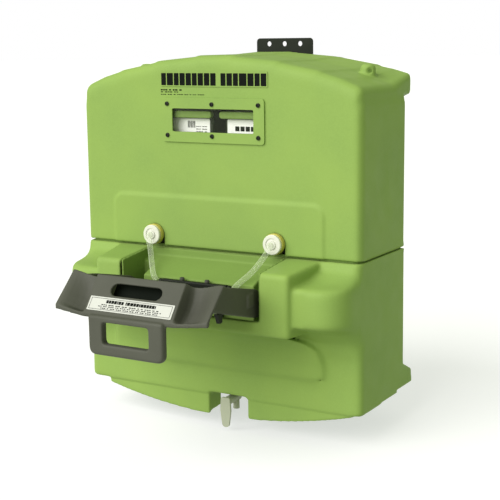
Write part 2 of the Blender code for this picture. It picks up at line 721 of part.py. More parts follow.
def spray_parts(suffix, sign):
    """A spray nozzle on the bar, and the elbow that takes the tube at the bar's end."""
    centre = (sign * NOZZLE_X, NOZZLE_Y, NOZZLE_BAR_TOP + GAP)
    profile = [(0.0, 0.0), (0.0048, 0.0), (0.0048, 0.0030), (0.0040, 0.0055), (0.0016, 0.0055), (0.0016, 0.0020),
               (0.0, 0.0020)]
    nozzle = turned(f"spray_nozzle_{suffix}", profile, centre, "z", "grey_plastic", 24)
    elbow = turned(f"tube_elbow_{suffix}", [(0.0, 0.0), (0.0040, 0.0), (0.0058, 0.0015), (0.0058, 0.0055),
                                            (0.0050, 0.0070), (0.0, 0.0070)],
                   (sign * 0.0713, NOZZLE_Y, -0.0545), (sign, 0, 0), "black_plastic", 24)
    return [nozzle, elbow]


# Pull-down arm -------------------------------------------------------------------------------------------


def plate_point(t, lift=0.0):
    """(y, z) on the arm's plate, t metres down from its rear edge and lift metres above it."""
    down = (PLATE_FOOT - PLATE_TOP).normalized()
    out = Vector((down.y, -down.x))
    return PLATE_TOP + down * t + out * lift


def scoop_depth(x, s, widen=0.0):
    """Depth of the side scoops at half-width x, a fraction s of the way down the plate."""
    start, end = SCOOP_X[0] - widen, SCOOP_X[1] + widen
    x = abs(x)
    if not start < x < end:
        return 0.0
    wall = min(1.0, (x - start) / 0.009)
    rise = min(1.0, (end - x) / (end - start - 0.009))
    across = math.sin(math.pi / 2 * wall) * math.sin(math.pi / 2 * rise) ** 1.3
    return SCOOP_DEPTH * across * (0.30 + 0.70 * math.sin(math.pi * min(1.0, 0.10 + 0.78 * s)) ** 0.8)


def wing_point(x, s, lift):
    """(y, z) a fraction s of the way down the plate at x: the wings' tops lean back and their feet rise."""
    out = min(1.0, max(0.0, (abs(x) - SCOOP_X[0]) / (WING_HALF - SCOOP_X[0])))
    length = (PLATE_FOOT - PLATE_TOP).length - WING_RISE * out
    return plate_point(length * s, lift) + Vector((WING_LEAN * out * (1.0 - s), 0.0))


def arm_section(x):
    """The plate's section at x: front face with the scoop in it, front lip, and the back face behind."""
    skin = 0.005
    stations = [0.0, 0.15, 0.35, 0.55, 0.75, 0.90]
    front = [wing_point(x, s, -scoop_depth(x, s)) for s in stations]
    back = [wing_point(x, s, -skin - scoop_depth(x, s, 0.003)) for s in stations]
    foot = wing_point(x, 1.0, 0.0)
    lip = [foot, foot + Vector((0.0, -0.008)), foot + Vector((0.006, -0.008))]
    return [Vector((x, y, z)) for y, z in front + lip + back[::-1]]


def scoop_clearance():
    """The space in front of the plate and inside its scoops, which the floor and the levers stay out of."""
    rings = []
    for x in (-0.165, *PLATE_MARKS, 0.165):
        near = [wing_point(x, s, -0.002 - scoop_depth(x, s)) for s in (-0.10, 0.0, 0.15, 0.35, 0.55, 0.75, 0.90)]
        far = [wing_point(x, s, 0.030) for s in (0.90, -0.10)]
        rings.append([Vector((x, y, z)) for y, z in near + far])
    return loft("scoop_clearance", rings)


def arm_plate():
    return loft("activation_arm", [arm_section(x) for x in PLATE_MARKS], "grey_plastic", 40)


def arm_lever(suffix, sign):
    """Side lever: a rounded heel round the pivot, rising to the plate."""
    heel = Vector((PIVOT.y, PIVOT.z))
    outline = [(-0.085, -0.047), (-0.193, -0.0234), (-0.236, -0.0175), plate_point(0.020, -0.003),
               plate_point(0.048, -0.003), (-0.222, -0.0640), (-0.209, -0.0671), (-0.107, -0.0950), (-0.086, -0.0997)]
    for step in range(9):
        turn = math.radians(-100 + 200 * step / 8)
        outline.append(tuple(heel + Vector((math.cos(turn), math.sin(turn))) * 0.020))
    near, far = sorted(sign * x for x in LEVER_X)
    lever = prism(f"lever_{suffix}", outline, "x", near, far)
    pad_near, pad_far = sorted((sign * (LEVER_X[1] - 0.002), sign * 0.1440))
    pad = [(-0.121, -0.0515), (-0.100, -0.0485), (-0.100, -0.0740), (-0.121, -0.0740)]
    join(lever, prism(f"lever_pad_{suffix}", pad, "x", pad_near, pad_far))
    return lever


def arm_floor():
    """Tray floor between the levers, which carries the used fluid back to the basin."""
    outline = [(-0.090, -0.0985), (-0.090, -0.0945), (-0.209, -0.0615), (-0.268, -0.0470), (-0.272, -0.0515),
               (-0.209, -0.0655)]
    half = LEVER_X[0] + 0.002
    return prism("arm_floor", outline, "x", -half, half)


def pull_handle():
    """D-shaped handle hanging from the plate's front lip."""
    outline = rounded([(-HANDLE_HALF, PLATE_FOOT.y - 0.001), (-HANDLE_HALF, HANDLE_BOTTOM, 0.012),
                       (HANDLE_HALF, HANDLE_BOTTOM, 0.012), (HANDLE_HALF, PLATE_FOOT.y - 0.001)])
    handle = prism("pull_handle", outline, "y", *HANDLE_Y)
    bevel(handle, 0.004, 2)
    gap = rectangle(HANDLE_GAP_HALF, *HANDLE_GAP_Z, radius=0.004)
    cut(handle, prism("handle_gap", gap, "y", -0.32, -0.26))
    return handle


def plate_prism(name, outline, low, high, material=None):
    """An outline in (x, distance down the plate), extruded square to the plate from low to high."""
    rings = []
    for lift in (low, high):
        rings.append([Vector((x, *plate_point(t, lift))) for x, t in outline])
    return loft(name, rings, material, smooth=40)


def slot_guard():
    """Web on the tray floor, close behind the plate's slot."""
    return plate_prism("slot_guard", rectangle(0.062, 0.002, 0.040, 0.003), -0.0235, -0.0210)


def activation_arm():
    tray = arm_floor()
    join(tray, slot_guard(), *(arm_lever(suffix, sign) for suffix, sign in sides()))
    cut(tray, scoop_clearance())
    arm = arm_plate()
    join(arm, tray, pull_handle())
    slot = rounded([(-0.053, 0.0145, 0.0115), (0.053, 0.0145, 0.0115), (0.053, 0.0385, 0.0115),
                    (-0.053, 0.0385, 0.0115)], 5)
    cut(arm, plate_prism("arm_slot", slot, -0.020, 0.020))
    for suffix, sign in sides():
        cut(arm, cylinder(f"lever_bore_{suffix}", PIVOT, "x", PIVOT_PIN_R + GAP, sign * 0.1385 - 0.010,
                          sign * 0.1385 + 0.010, segments=24))
    return arm


def arm_label():
    return plate_prism("arm_label", rectangle(0.0885, 0.0435, 0.0700, 0.001), GAP, 0.0012, "label")


def arm_catch(suffix, sign):
    """Stop block under the lever, near the plate."""
    outline = [(-0.220, -0.0650), (-0.203, -0.0692), (-0.204, -0.0825), (-0.212, -0.0835)]
    near, far = sorted((sign * 0.1335, sign * 0.1405))
    return prism(f"arm_catch_{suffix}", outline, "x", near, far, "black_plastic")


def pivot_parts(suffix, sign):
    """Pin held in the basin liner, with a bush between the liner and the lever."""
    profile = [(0.0, 0.1285), (0.0065, 0.1285), (0.0065, 0.1327), (PIVOT_PIN_R, 0.1327), (PIVOT_PIN_R, 0.1518),
               (0.0, 0.1518)]
    pin = turned(f"pivot_pin_{suffix}", profile, PIVOT, (sign, 0, 0), "steel", 24)
    bush = ring(f"pivot_bush_{suffix}", PIVOT, (sign, 0, 0), PIVOT_PIN_R + GAP, 0.0075, LEVER_X[1] + GAP, 0.1482,
                "black_plastic", 24)
    return [pin, bush]


# Drain valve ---------------------------------------------------------------------------------------------


def drain_valve():
    centre = (VALVE_X, 0.0, VALVE_Z)
    neck = (VALVE_X, VALVE_NECK_Y, 0.0)
    body = cylinder("drain_valve_body", centre, "y", 0.0086, -0.0015, 0.0400, "cream_plastic", 28)
    join(body, cylinder("valve_neck", neck, "z", 0.0065, VALVE_Z, -0.2650, segments=24))
    join(body, cylinder("valve_outlet", (VALVE_X + 0.002, 0.0300, 0.0), "z", 0.0064, -0.3180, VALVE_Z, segments=24))
    nut = cylinder("drain_valve_nut", neck, "z", 0.0125, -0.2742, -0.2680, "cream_plastic", 6)
    cut(nut, cylinder("nut_bore", neck, "z", 0.0068, -0.29, -0.26, segments=24))
    return [body, nut]


def drain_lever():
    """Paddle that turns the valve, hanging down when it is shut."""
    outline = rounded([(VALVE_X - 0.0100, VALVE_Z + 0.0085, 0.004), (VALVE_X + 0.0100, VALVE_Z + 0.0085, 0.004),
                       (VALVE_X + 0.0115, VALVE_Z - 0.0180), (VALVE_X + 0.0070, -0.3465, 0.006),
                       (VALVE_X - 0.0070, -0.3465, 0.006), (VALVE_X - 0.0115, VALVE_Z - 0.0180)])
    lever = prism("drain_valve_lever", outline, "y", -0.0085, -0.0045, "cream_plastic", 40)
    join(lever, cylinder("lever_hub", (VALVE_X, 0.0, VALVE_Z), "y", 0.0055, -0.0060, -0.0018, segments=24))
    return lever


# Assembly ------------------------------------------------------------------------------------------------


def empty(name, location, parent=None):
    obj = bpy.data.objects.new(name, None)
    obj.empty_display_size = 0.03
    obj.location = location
    obj.parent = parent
    bpy.context.scene.collection.objects.link(obj)
    return obj


def hang(pieces, parent, origin):
    """Parents pieces drawn in the shell frame to an empty at origin, and moves their own origins onto it."""
    for piece in pieces:
        piece.parent = parent
        piece.location = -Vector(origin)


def main():
    clear_scene()
    station = empty("station", (0.0, -BODY_DEPTH, -MOUNT_HEIGHT))
    valve_axis = (VALVE_X, 0.0, VALVE_Z)
    cover_lift = empty("cover_lift", (0.0, 0.0, 0.0), station)
    arm_hinge = empty("arm_hinge", PIVOT, station)
    valve_hinge = empty("valve_hinge", valve_axis, station)

    fixed = [lower_housing(), basin_liner(), cartridge_shelf(), back_panel(), wall_bracket(), *bracket_screws(),
             *wall_pads(), nozzle_bar(), *drain_valve()]
    for suffix, sign in sides():
        fixed += [*cartridge(suffix, sign), cartridge_handle(suffix, sign), *spout(suffix, sign),
                  supply_tube(suffix, sign), *spray_parts(suffix, sign), *pivot_parts(suffix, sign)]
    hang(fixed, station, (0.0, 0.0, 0.0))
    hang([top_cover(), *window_parts(), header_sign(), *cover_screws()], cover_lift, (0.0, 0.0, 0.0))
    catches = [arm_catch(suffix, sign) for suffix, sign in sides()]
    hang([activation_arm(), arm_label(), *catches], arm_hinge, PIVOT)
    hang([drain_lever()], valve_hinge, valve_axis)


main()
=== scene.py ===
"""Looks of a wall-hung eyewash station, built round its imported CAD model.

The numbers for the mouldings and the tubes are in the shell frame: X to the right, Y from the cover's front plane
towards the wall, Z up from the seam between the cover and the lower housing. SHELL carries them to the row's
frame. Those for the printed bars are in the plane of their label, from its middle. Lengths are in metres, and
colours are linear.
"""

import math

import bmesh
import bpy
import numpy as np
from mathutils import Matrix, Vector


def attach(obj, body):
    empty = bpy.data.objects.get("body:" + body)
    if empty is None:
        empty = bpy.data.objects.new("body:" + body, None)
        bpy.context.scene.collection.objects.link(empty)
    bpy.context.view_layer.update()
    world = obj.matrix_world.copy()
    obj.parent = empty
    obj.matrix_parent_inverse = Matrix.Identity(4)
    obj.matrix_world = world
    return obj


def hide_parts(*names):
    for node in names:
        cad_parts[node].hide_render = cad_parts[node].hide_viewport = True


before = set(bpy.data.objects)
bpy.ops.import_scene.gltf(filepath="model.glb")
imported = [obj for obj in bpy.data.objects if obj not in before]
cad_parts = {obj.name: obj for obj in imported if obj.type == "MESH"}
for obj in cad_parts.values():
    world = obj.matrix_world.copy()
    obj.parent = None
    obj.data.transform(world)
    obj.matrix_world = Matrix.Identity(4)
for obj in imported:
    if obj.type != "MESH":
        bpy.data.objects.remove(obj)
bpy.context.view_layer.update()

SHELL = Vector((0.0, -0.285, -0.365))

# Room and camera -----------------------------------------------------------------------------------------

FLOOR_Z = -0.719
FLOOR_HALF = 60.0
FLOOR_COLOURS = (0.50, 0.50, 0.50), (0.52, 0.52, 0.52)
FLOOR_GLOW = (0.99, 0.97, 1.05, 1.0)
FLOOR_GLOW_STRENGTH = 0.54
FLOOR_ROUGHNESS = 0.9

ROOM_SEEN = (1.0, 1.0, 1.0, 1.0)
ROOM_GLOW = (0.88, 1.0, 0.64, 1.0)
ROOM_GLOW_STRENGTH = 0.57
SUN_FROM = Vector((-0.30, -0.78, 0.52))
SUN_ENERGY = 3.75
SUN_SPREAD = 60.0  # degrees
SUN_COLOUR = (1.0, 0.975, 0.97)

CAMERA_PLACE = Vector((1.1712, -2.1547, 0.0264))
CAMERA_YAW, CAMERA_PITCH, CAMERA_ROLL = 30.326, 10.087, -0.647  # degrees
CAMERA_LENS = 84.49
SENSOR_WIDTH = 36.0
CAMERA_REACH = 50.0

# Finishes ------------------------------------------------------------------------------------------------

GREEN = (0.230, 0.345, 0.092)
GREEN_TINT = (1.03, 1.0, 0.92)
LINER_GREEN = (0.175, 0.270, 0.066)
GREY = (0.068, 0.069, 0.057)
BLACK = (0.012, 0.014, 0.010)
# The ink's near-black is also the painted shade on the web behind the arm's slot.
INK_AND_PAINTED_SHADE = (0.005, 0.007, 0.005)
CLEAR_ROUGHNESS = 0.12
CLOUD_SCALE, GLOSS_SCALE, WAVE_SCALE = 7.0, 26.0, 18.0  # of the noise, in features per metre
WAVE_DEPTH, WAVE_STRENGTH, GRAIN_STRENGTH = 0.0012, 0.25, 0.35
SPECK_SHARE = 0.45  # of the grain's scale
SPECK_GAIN = 1.12
MID_NOISE = (0.3, 0.7)  # where nearly all of a noise's values lie
# The nodes whose finish isn't the one that their CAD material names.
SPECIAL_FINISHES = {
    "header_sign": "green_shell",
    "window_lens": "lens",
    # The cartridges are painted near-black as painted shade for the shadowed inside of the window.
    "cartridge_left": "painted_shade_dark",
    "cartridge_right": "painted_shade_dark",
    "cartridge_label_left": "bright_label",
    "cartridge_label_right": "bright_label",
    "cover_screw_left": "green_liner",
    "cover_screw_right": "green_liner",
}

# Mouldings -----------------------------------------------------------------------------------------------

# Each pair is where a rule starts to change and where it has changed in full. X is taken as |x|, a DROP is down
# from the seam, and a FORWARD is towards the camera from the cover's front plane.
SEAM_X, SEAM_Y, SEAM_AWAY = (0.270, 0.290), (0.015, 0.030), (0.005, 0.012)
BEHIND_FRONT = (0.030, 0.045)
ROOF_Z, ROOF_CRISP = (0.322, 0.330), 0.75
UNDER_DROP = (0.262, 0.270)
FRONT_FACE = (0.002, 0.004)
BELLY_TOP_DROP, BELLY_LOW_DROP, BELLY_SIDE_X = (0.129, 0.138), (0.255, 0.268), (0.268, 0.285)
HIP_FORWARD, HIP_X = (0.0, 0.004), (0.234, 0.242)
HANDLE_DROP, HANDLE_FORWARD = (0.079, 0.086), (0.270, 0.277)
SKIRT_DROP, SKIRT_FACE = (0.2860, 0.2890), (0.0085, 0.0110)
PANEL_EDGE, PANEL_FACE = (-0.0045, 0.0045), (0.003, 0.010)

WALL_X = 0.3047  # the side walls at the seam
SEAM_HALF_GAP = 0.0007
LINER_SIDE_X = 0.1497
LINER_PRESS = 0.0011
SKIRT_SETBACK = 0.0026
PANEL_HALF_X, PANEL_TOP, PANEL_CORNER = 0.210, 0.076, 0.023
PANEL_RISE = 0.0035
BELLY_CORNER_X, BELLY_CORNER_Z, BELLY_CORNER_SIZE = 0.2185, -0.2335, 0.011
PLATE_TOP = np.array((-0.243, -0.011))  # y, z of the rear edge of the arm's plate
PLATE_DOWN = np.array((-0.598, -0.8015))
PLATE_OUT = np.array((-0.8015, 0.598))
# Where the web behind the arm's slot is painted near-black as painted shade.
SLOT_HALF_X = 0.062
SLOT_DEPTHS = (-0.026, -0.007)  # along PLATE_OUT
SLOT_REACH = (-0.002, 0.036)  # along PLATE_DOWN

# Tubes ---------------------------------------------------------------------------------------------------

TUBE_DIAMETER = 0.0105
TUBE_SMOOTHING = 8
TUBE_ROUTE = (
    (0.1342, -0.0204, 0.0227),
    (0.1342, -0.0245, 0.0227),
    (0.1340, -0.0283, 0.0200),
    (0.1326, -0.0302, 0.0132),
    (0.1276, -0.0322, 0.0036),
    (0.1190, -0.0425, -0.0128),
    (0.1085, -0.0550, -0.0290),
    (0.0985, -0.0670, -0.0390),
    (0.0915, -0.0735, -0.0470),
    (0.0855, -0.0735, -0.0540),
)

# Printed bars --------------------------------------------------------------------------------------------

# Relative widths along a row, with a negative one for a space.
HEADING = (1, 1.3, 1, 1.1, 1.1, 1, 1.1, 1.1, 1.1, -0.6, 1, 1.1, 1, 1.5, 1.2, 1, 1.1)
NOTICE = (1, 1, 1.1, 1.1, 0.5, 1.1, 1, -0.5, 0.5, 1.3, 1.3, 1, 1.1, 0.5, 1.2, 1.1, 1, 1, 1.1, 0.4)
CARTON_ROW = (1,) * 8

NOTICE_LINES = ((0.060, -0.0022), (0.066, -0.0055), (0.060, -0.0088))  # half width, bottom
NOTICE_BORDER = (0.0850, 0.0108)
WORD_LENGTH = 0.011
PRINT_GAP = 0.0011
CODE_HEIGHT = 0.0015


def link(obj):
    bpy.context.scene.collection.objects.link(obj)
    return obj


def make_camera():
    yaw, pitch, roll = (math.radians(a) for a in (CAMERA_YAW, CAMERA_PITCH, CAMERA_ROLL))
    ahead = Vector((-math.sin(yaw) * math.cos(pitch), math.cos(yaw) * math.cos(pitch), -math.sin(pitch)))
    level = Vector((math.cos(yaw), math.sin(yaw), 0.0))
    upright = level.cross(ahead)
    right = level * math.cos(roll) + upright * math.sin(roll)
    up = upright * math.cos(roll) - level * math.sin(roll)
    camera = link(bpy.data.objects.new("camera", bpy.data.cameras.new("camera")))
    turn = Matrix((right, up, -ahead)).transposed()
    camera.matrix_world = Matrix.Translation(CAMERA_PLACE) @ turn.to_4x4()
    camera.data.lens = CAMERA_LENS
    camera.data.sensor_width = SENSOR_WIDTH
    camera.data.clip_end = CAMERA_REACH
    bpy.context.scene.camera = camera


class Nodes:
    """A material and short ways to add nodes to it."""

    def __init__(self, name):
        self.material = bpy.data.materials.new(name)
        self.material.use_nodes = True
        self.tree = self.material.node_tree
        self.shader = self.tree.nodes["Principled BSDF"]
        self.place = self.add("ShaderNodeTexCoord").outputs["Object"]

    def add(self, kind, **settings):
        node = self.tree.nodes.new(kind)
        for key, value in settings.items():
            setattr(node, key, value)
        return node

    def link(self, output, target):
        self.tree.links.new(output, target)

    def noise(self, scale, detail=2.0, roughness=0.5):
        node = self.add("ShaderNodeTexNoise")
        node.inputs["Scale"].default_value = scale
        node.inputs["Detail"].default_value = detail
        node.inputs["Roughness"].default_value = roughness
        self.link(self.place, node.inputs["Vector"])
        return node.outputs["Fac"]

    def ramp(self, value, low, high, to_low=0.0, to_high=1.0):
        node = self.add("ShaderNodeMapRange")
        for key, number in (("From Min", low), ("From Max", high), ("To Min", to_low), ("To Max", to_high)):
            node.inputs[key].default_value = number
        self.link(value, node.inputs["Value"])
        return node.outputs["Result"]

    def blend(self, factor, first, second):
        """first where factor is 0 and second where it is 1; each is a colour or another node's output."""
        node = self.add("ShaderNodeMix", data_type="RGBA")
        if isinstance(factor, float):
            node.inputs["Factor"].default_value = factor
        else:
            self.link(factor, node.inputs["Factor"])
        for value, name in ((first, "A"), (second, "B")):
            socket = next(s for s in node.inputs if s.name == name and s.type == "RGBA")
            if isinstance(value, tuple):
                socket.default_value = (*value, 1.0)
            else:
                self.link(value, socket)
        return next(s for s in node.outputs if s.type == "RGBA")

    def bump(self, height, distance, strength, under=None):
        node = self.add("ShaderNodeBump")
        node.inputs["Strength"].default_value = strength
        node.inputs["Distance"].default_value = distance
        self.link(height, node.inputs["Height"])
        if under:
            self.link(under, node.inputs["Normal"])
        return node.outputs["Normal"]


def shade(colour, factor):
    return tuple(min(1.0, c * factor) for c in colour)


def moulded(name, colour, roughness, spread=0.06, grain=900.0, depth=0.00012, tint=(1.0, 1.0, 1.0), **sockets):
    """Moulded plastic: a cloudy colour, fine specks, uneven gloss and a grained skin."""
    n = Nodes(name)
    cloud = n.ramp(n.noise(CLOUD_SCALE, 3.0), *MID_NOISE)
    speck = n.noise(grain * SPECK_SHARE, 2.0, 0.6)
    warm = tuple(c * t for c, t in zip(shade(colour, 1.0 + spread), tint))
    body = n.blend(cloud, shade(colour, 1.0 - spread), warm)
    body = n.blend(n.ramp(speck, 0.35, 0.75), body, n.blend(0.5, body, shade(colour, SPECK_GAIN)))
    n.link(body, n.shader.inputs["Base Color"])
    gloss = n.ramp(n.noise(GLOSS_SCALE, 3.0), *MID_NOISE, roughness - 0.05, roughness + 0.07)
    n.link(gloss, n.shader.inputs["Roughness"])
    wave = n.bump(n.noise(WAVE_SCALE), WAVE_DEPTH, WAVE_STRENGTH)
    n.link(n.bump(n.noise(grain, 3.0, 0.65), depth, GRAIN_STRENGTH, wave), n.shader.inputs["Normal"])
    for key, value in sockets.items():
        n.shader.inputs[key.replace("_", " ")].default_value = value
    return n


def clear(name, colour, middle, rim):
    """Clear plastic that shows most at its rim, where the eye looks along its wall."""
    n = moulded(name, colour, CLEAR_ROUGHNESS, spread=0.03, grain=90.0, depth=0.00002, Specular_IOR_Level=0.8)
    weight = n.add("ShaderNodeLayerWeight")
    weight.inputs["Blend"].default_value = 0.5
    n.link(n.ramp(weight.outputs["Facing"], 0.35, 0.85, middle, rim), n.shader.inputs["Alpha"])
    return n


def make_materials():
    """The finishes by the record's material slot, then those that only scene.py has."""
    made = {
        "green_shell": moulded("shell_green", GREEN, 0.46, depth=0.00005, tint=GREEN_TINT,
                               Specular_IOR_Level=0.08),
        "green_liner": moulded("liner_green", LINER_GREEN, 0.50, depth=0.00005, Specular_IOR_Level=0.08),
        "grey_plastic": moulded("arm_grey", GREY, 0.56, spread=0.10, grain=1500.0, depth=0.0002,
                                Specular_IOR_Level=0.22),
        "black_plastic": moulded("black_moulding", BLACK, 0.50, spread=0.2, Specular_IOR_Level=0.15),
        "black_steel": moulded("black_paint", (0.012, 0.015, 0.010), 0.55, spread=0.15, grain=2200.0,
                               Specular_IOR_Level=0.15),
        "white_plastic": moulded("cap_white", (0.66, 0.66, 0.60), 0.36, spread=0.03),
        "yellow_plastic": moulded("ring_yellow", (0.52, 0.45, 0.10), 0.38),
        "clear_plastic": clear("tube_clear", (0.72, 0.80, 0.60), 0.13, 0.80),
        "cream_plastic": moulded("valve_cream", (0.46, 0.48, 0.38), 0.32, Transmission_Weight=0.25),
        "label": moulded("label_white", (0.50, 0.50, 0.49), 0.48, spread=0.02, depth=0.00004),
        "rubber": moulded("gasket_rubber", (0.02, 0.02, 0.02), 0.75, spread=0.15),
        "steel": moulded("bare_steel", (0.55, 0.55, 0.54), 0.28, spread=0.05, Metallic=1.0),
        # Painted shade: the cartridges' near-black stands in for the shade inside the window.
        "painted_shade_dark": moulded("cartridge_painted_shade", (0.020, 0.030, 0.014), 0.50, spread=0.15,
                                Specular_IOR_Level=0.2),
        "lens": clear("window_clear", (0.30, 0.34, 0.26), 0.03, 0.30),
        "bright_label": moulded("carton_white", (0.86, 0.86, 0.85), 0.48, spread=0.02, depth=0.00004),
        # The ink finish also serves as painted shade on the web behind the arm's slot.
        "ink": moulded("print_ink_and_painted_shade", INK_AND_PAINTED_SHADE, 0.65, spread=0.2, depth=0.00003, Specular_IOR_Level=0.05),
    }
    return {slot: n.material for slot, n in made.items()}


def make_floor():
    """Pale paper that glows a little, so that it meets the white background with no edge."""
    n = Nodes("floor_paper")
    cloud = n.ramp(n.noise(3.0, 3.0), *MID_NOISE)
    n.link(n.blend(cloud, *FLOOR_COLOURS), n.shader.inputs["Base Color"])
    n.shader.inputs["Roughness"].default_value = FLOOR_ROUGHNESS
    n.shader.inputs["Emission Color"].default_value = FLOOR_GLOW
    n.shader.inputs["Emission Strength"].default_value = FLOOR_GLOW_STRENGTH
    mesh = bpy.data.meshes.new("floor")
    corners = ((-1, -1), (1, -1), (1, 1), (-1, 1))
    mesh.from_pydata([(x * FLOOR_HALF, y * FLOOR_HALF, FLOOR_Z) for x, y in corners], [], [(0, 1, 2, 3)])
    mesh.materials.append(n.material)
    floor = link(bpy.data.objects.new("floor", mesh))
    floor.visible_diffuse = False


def make_studio():
    """White where the camera looks past the object, a yellow-green glow on it, and a broad key from the left."""
    world = bpy.data.worlds.new("studio")
    bpy.context.scene.world = world
    world.use_nodes = True
    nodes, links = world.node_tree.nodes, world.node_tree.links
    seen, glow = nodes["Background"], nodes.new("ShaderNodeBackground")
    for background, colour, strength in ((seen, ROOM_SEEN, 1.0), (glow, ROOM_GLOW, ROOM_GLOW_STRENGTH)):
        background.inputs["Color"].default_value = colour
        background.inputs["Strength"].default_value = strength
    path, mix = nodes.new("ShaderNodeLightPath"), nodes.new("ShaderNodeMixShader")
    links.new(path.outputs["Is Camera Ray"], mix.inputs["Fac"])
    links.new(glow.outputs["Background"], mix.inputs[1])
    links.new(seen.outputs["Background"], mix.inputs[2])
    links.new(mix.outputs["Shader"], nodes["World Output"].inputs["Surface"])
    sun = bpy.data.lights.new("key", "SUN")
    sun.energy = SUN_ENERGY
    sun.angle = math.radians(SUN_SPREAD)
    sun.color = SUN_COLOUR
    key = link(bpy.data.objects.new("key", sun))
    key.rotation_mode = "QUATERNION"
    key.rotation_quaternion = SUN_FROM.to_track_quat("Z", "Y")
    bpy.context.scene.view_settings.view_transform = "Standard"


def smooth_step(value, low, high):
    share = np.clip((value - low) / (high - low), 0.0, 1.0)
    return share * share * (3.0 - 2.0 * share)


def relax(points, edges, rounds, weight):
    """Moves each point towards the middle of its neighbours, by its weight, in each round."""
    count = np.bincount(edges.ravel(), minlength=len(points))[:, None]
    for _ in range(rounds):
        total = np.empty_like(points)
        for axis in range(3):
            total[:, axis] = (np.bincount(edges[:, 0], points[edges[:, 1], axis], len(points))
                              + np.bincount(edges[:, 1], points[edges[:, 0], axis], len(points)))
        points = points + (total / count - points) * weight[:, None]
    return points


def crisp(points):
    """1 at the edges that stay sharp: the side walls' seam, most of the roof's steps, and those underneath."""
    x, y, z = points.T
    seam = smooth_step(np.abs(x), *SEAM_X) * smooth_step(y, *SEAM_Y)
    seam = seam * (1.0 - smooth_step(np.abs(z), *SEAM_AWAY))
    behind = smooth_step(y, *BEHIND_FRONT)
    roof = ROOF_CRISP * behind * smooth_step(z, *ROOF_Z)
    return np.maximum.reduce([seam, roof, behind * smooth_step(-z, *UNDER_DROP)])


def soft_skin(node, name, body, finish, voxel, rounds, weigh=None, shape=None):
    """The node's own form as an even fine mesh with its edges rounded by relaxing, in place of the node.

    weigh gives more (rounds, weights) to relax with, and shape moves the points at the end.
    """
    obj = link(bpy.data.objects.new(name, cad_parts[node].data.copy()))
    remesh = obj.modifiers.new("voxels", "REMESH")
    remesh.mode = "VOXEL"
    remesh.voxel_size = voxel
    graph = bpy.context.evaluated_depsgraph_get()
    mesh = bpy.data.meshes.new_from_object(obj.evaluated_get(graph))
    obj.modifiers.clear()
    obj.data = mesh
    mesh.name = name
    points = np.empty(len(mesh.vertices) * 3)
    mesh.vertices.foreach_get("co", points)
    points = points.reshape(-1, 3) - np.array(SHELL)
    edges = np.empty(len(mesh.edges) * 2, np.int64)
    mesh.edges.foreach_get("vertices", edges)
    edges = edges.reshape(-1, 2)
    for turns, weight in ((rounds, 0.5 - 0.45 * crisp(points)), *(weigh(points) if weigh else ())):
        points = relax(points, edges, turns, weight)
    if shape:
        points = shape(points)
    mesh.vertices.foreach_set("co", (points + np.array(SHELL)).ravel())
    mesh.materials.clear()
    mesh.materials.append(finish)
    mesh.polygons.foreach_set("use_smooth", np.ones(len(mesh.polygons), bool))
    mesh.update()
    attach(obj, body)
    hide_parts(node)
    return obj


def housing_weights(points):
    """More rounding for the belly's edges, the hips' tops and the belly's lower corners."""
    x, y, z = points.T
    belly = (1.0 - smooth_step(y, *FRONT_FACE)) * smooth_step(-z, *BELLY_TOP_DROP)
    belly = belly * (1.0 - smooth_step(-z, *BELLY_LOW_DROP)) * (1.0 - smooth_step(np.abs(x), *BELLY_SIDE_X))
    hips = smooth_step(-y, *HIP_FORWARD) * smooth_step(np.abs(x), *HIP_X)
    away = (np.abs(x) - BELLY_CORNER_X) ** 2 + y ** 2 + (z - BELLY_CORNER_Z) ** 2
    corner = np.exp(-away / BELLY_CORNER_SIZE ** 2)
    return (45, 0.5 * np.maximum(belly, hips)), (70, 0.5 * corner * (y < 0.003))


def arm_weights(points):
    """The pull handle's bars are rounder than the rest."""
    y, z = points[:, 1], points[:, 2]
    return ((9, 0.5 * smooth_step(-z, *HANDLE_DROP) * smooth_step(-y, *HANDLE_FORWARD)),)


def sharpen_seam(points):
    """Brings the side walls' edges at the seam back out to the wall, which the even mesh had cut off."""
    x, y, z = points.T
    edge = (np.abs(x) > 0.3022) & (y > 0.020) & (y < 0.195) & (np.abs(z) < 0.0042)
    lip = edge & (np.abs(z) < 0.0030)
    points = points.copy()
    points[edge, 0] = np.sign(x[edge]) * WALL_X
    points[lip, 2] = np.sign(z[lip]) * SEAM_HALF_GAP
    return points


def housing_shape(points):
    """The skirt hangs a little behind the tank's front."""
    points = sharpen_seam(points)
    y, z = points[:, 1], points[:, 2]
    points[:, 1] += SKIRT_SETBACK * smooth_step(-z, *SKIRT_DROP) * (1.0 - smooth_step(y, *SKIRT_FACE))
    return points


def liner_shape(points):
    """The liner's sides press into the block's mouth, so no gap shows round it."""
    points = points.copy()
    side = np.abs(points[:, 0]) > LINER_SIDE_X
    points[side, 0] += np.sign(points[side, 0]) * LINER_PRESS
    return points


def cover_shape(points):
    """The lower middle of the front stands a little proud of the rest."""
    x, y, z = points.T
    round_x, round_z = np.maximum(np.abs(x) - PANEL_HALF_X, 0.0), np.maximum(z - PANEL_TOP, 0.0)
    outside = np.hypot(round_x, round_z) - PANEL_CORNER
    panel = (1.0 - smooth_step(outside, *PANEL_EDGE)) * (1.0 - smooth_step(y, *PANEL_FACE))
    points = points.copy()
    points[:, 1] -= PANEL_RISE * panel
    return sharpen_seam(points)


def paint_slot_shade(arm, finish):
    """Painted shade: the web behind the plate's slot gets the near-black ink finish, standing in for the deep
    shade there.
    """
    arm.data.materials.append(finish)
    for face in arm.data.polygons:
        place = face.center - SHELL
        offset = np.array((place.y, place.z)) - PLATE_TOP
        in_depth = SLOT_DEPTHS[0] < offset @ PLATE_OUT < SLOT_DEPTHS[1]
        if abs(place.x) < SLOT_HALF_X and in_depth and SLOT_REACH[0] < offset @ PLATE_DOWN < SLOT_REACH[1]:
            face.material_index = 1


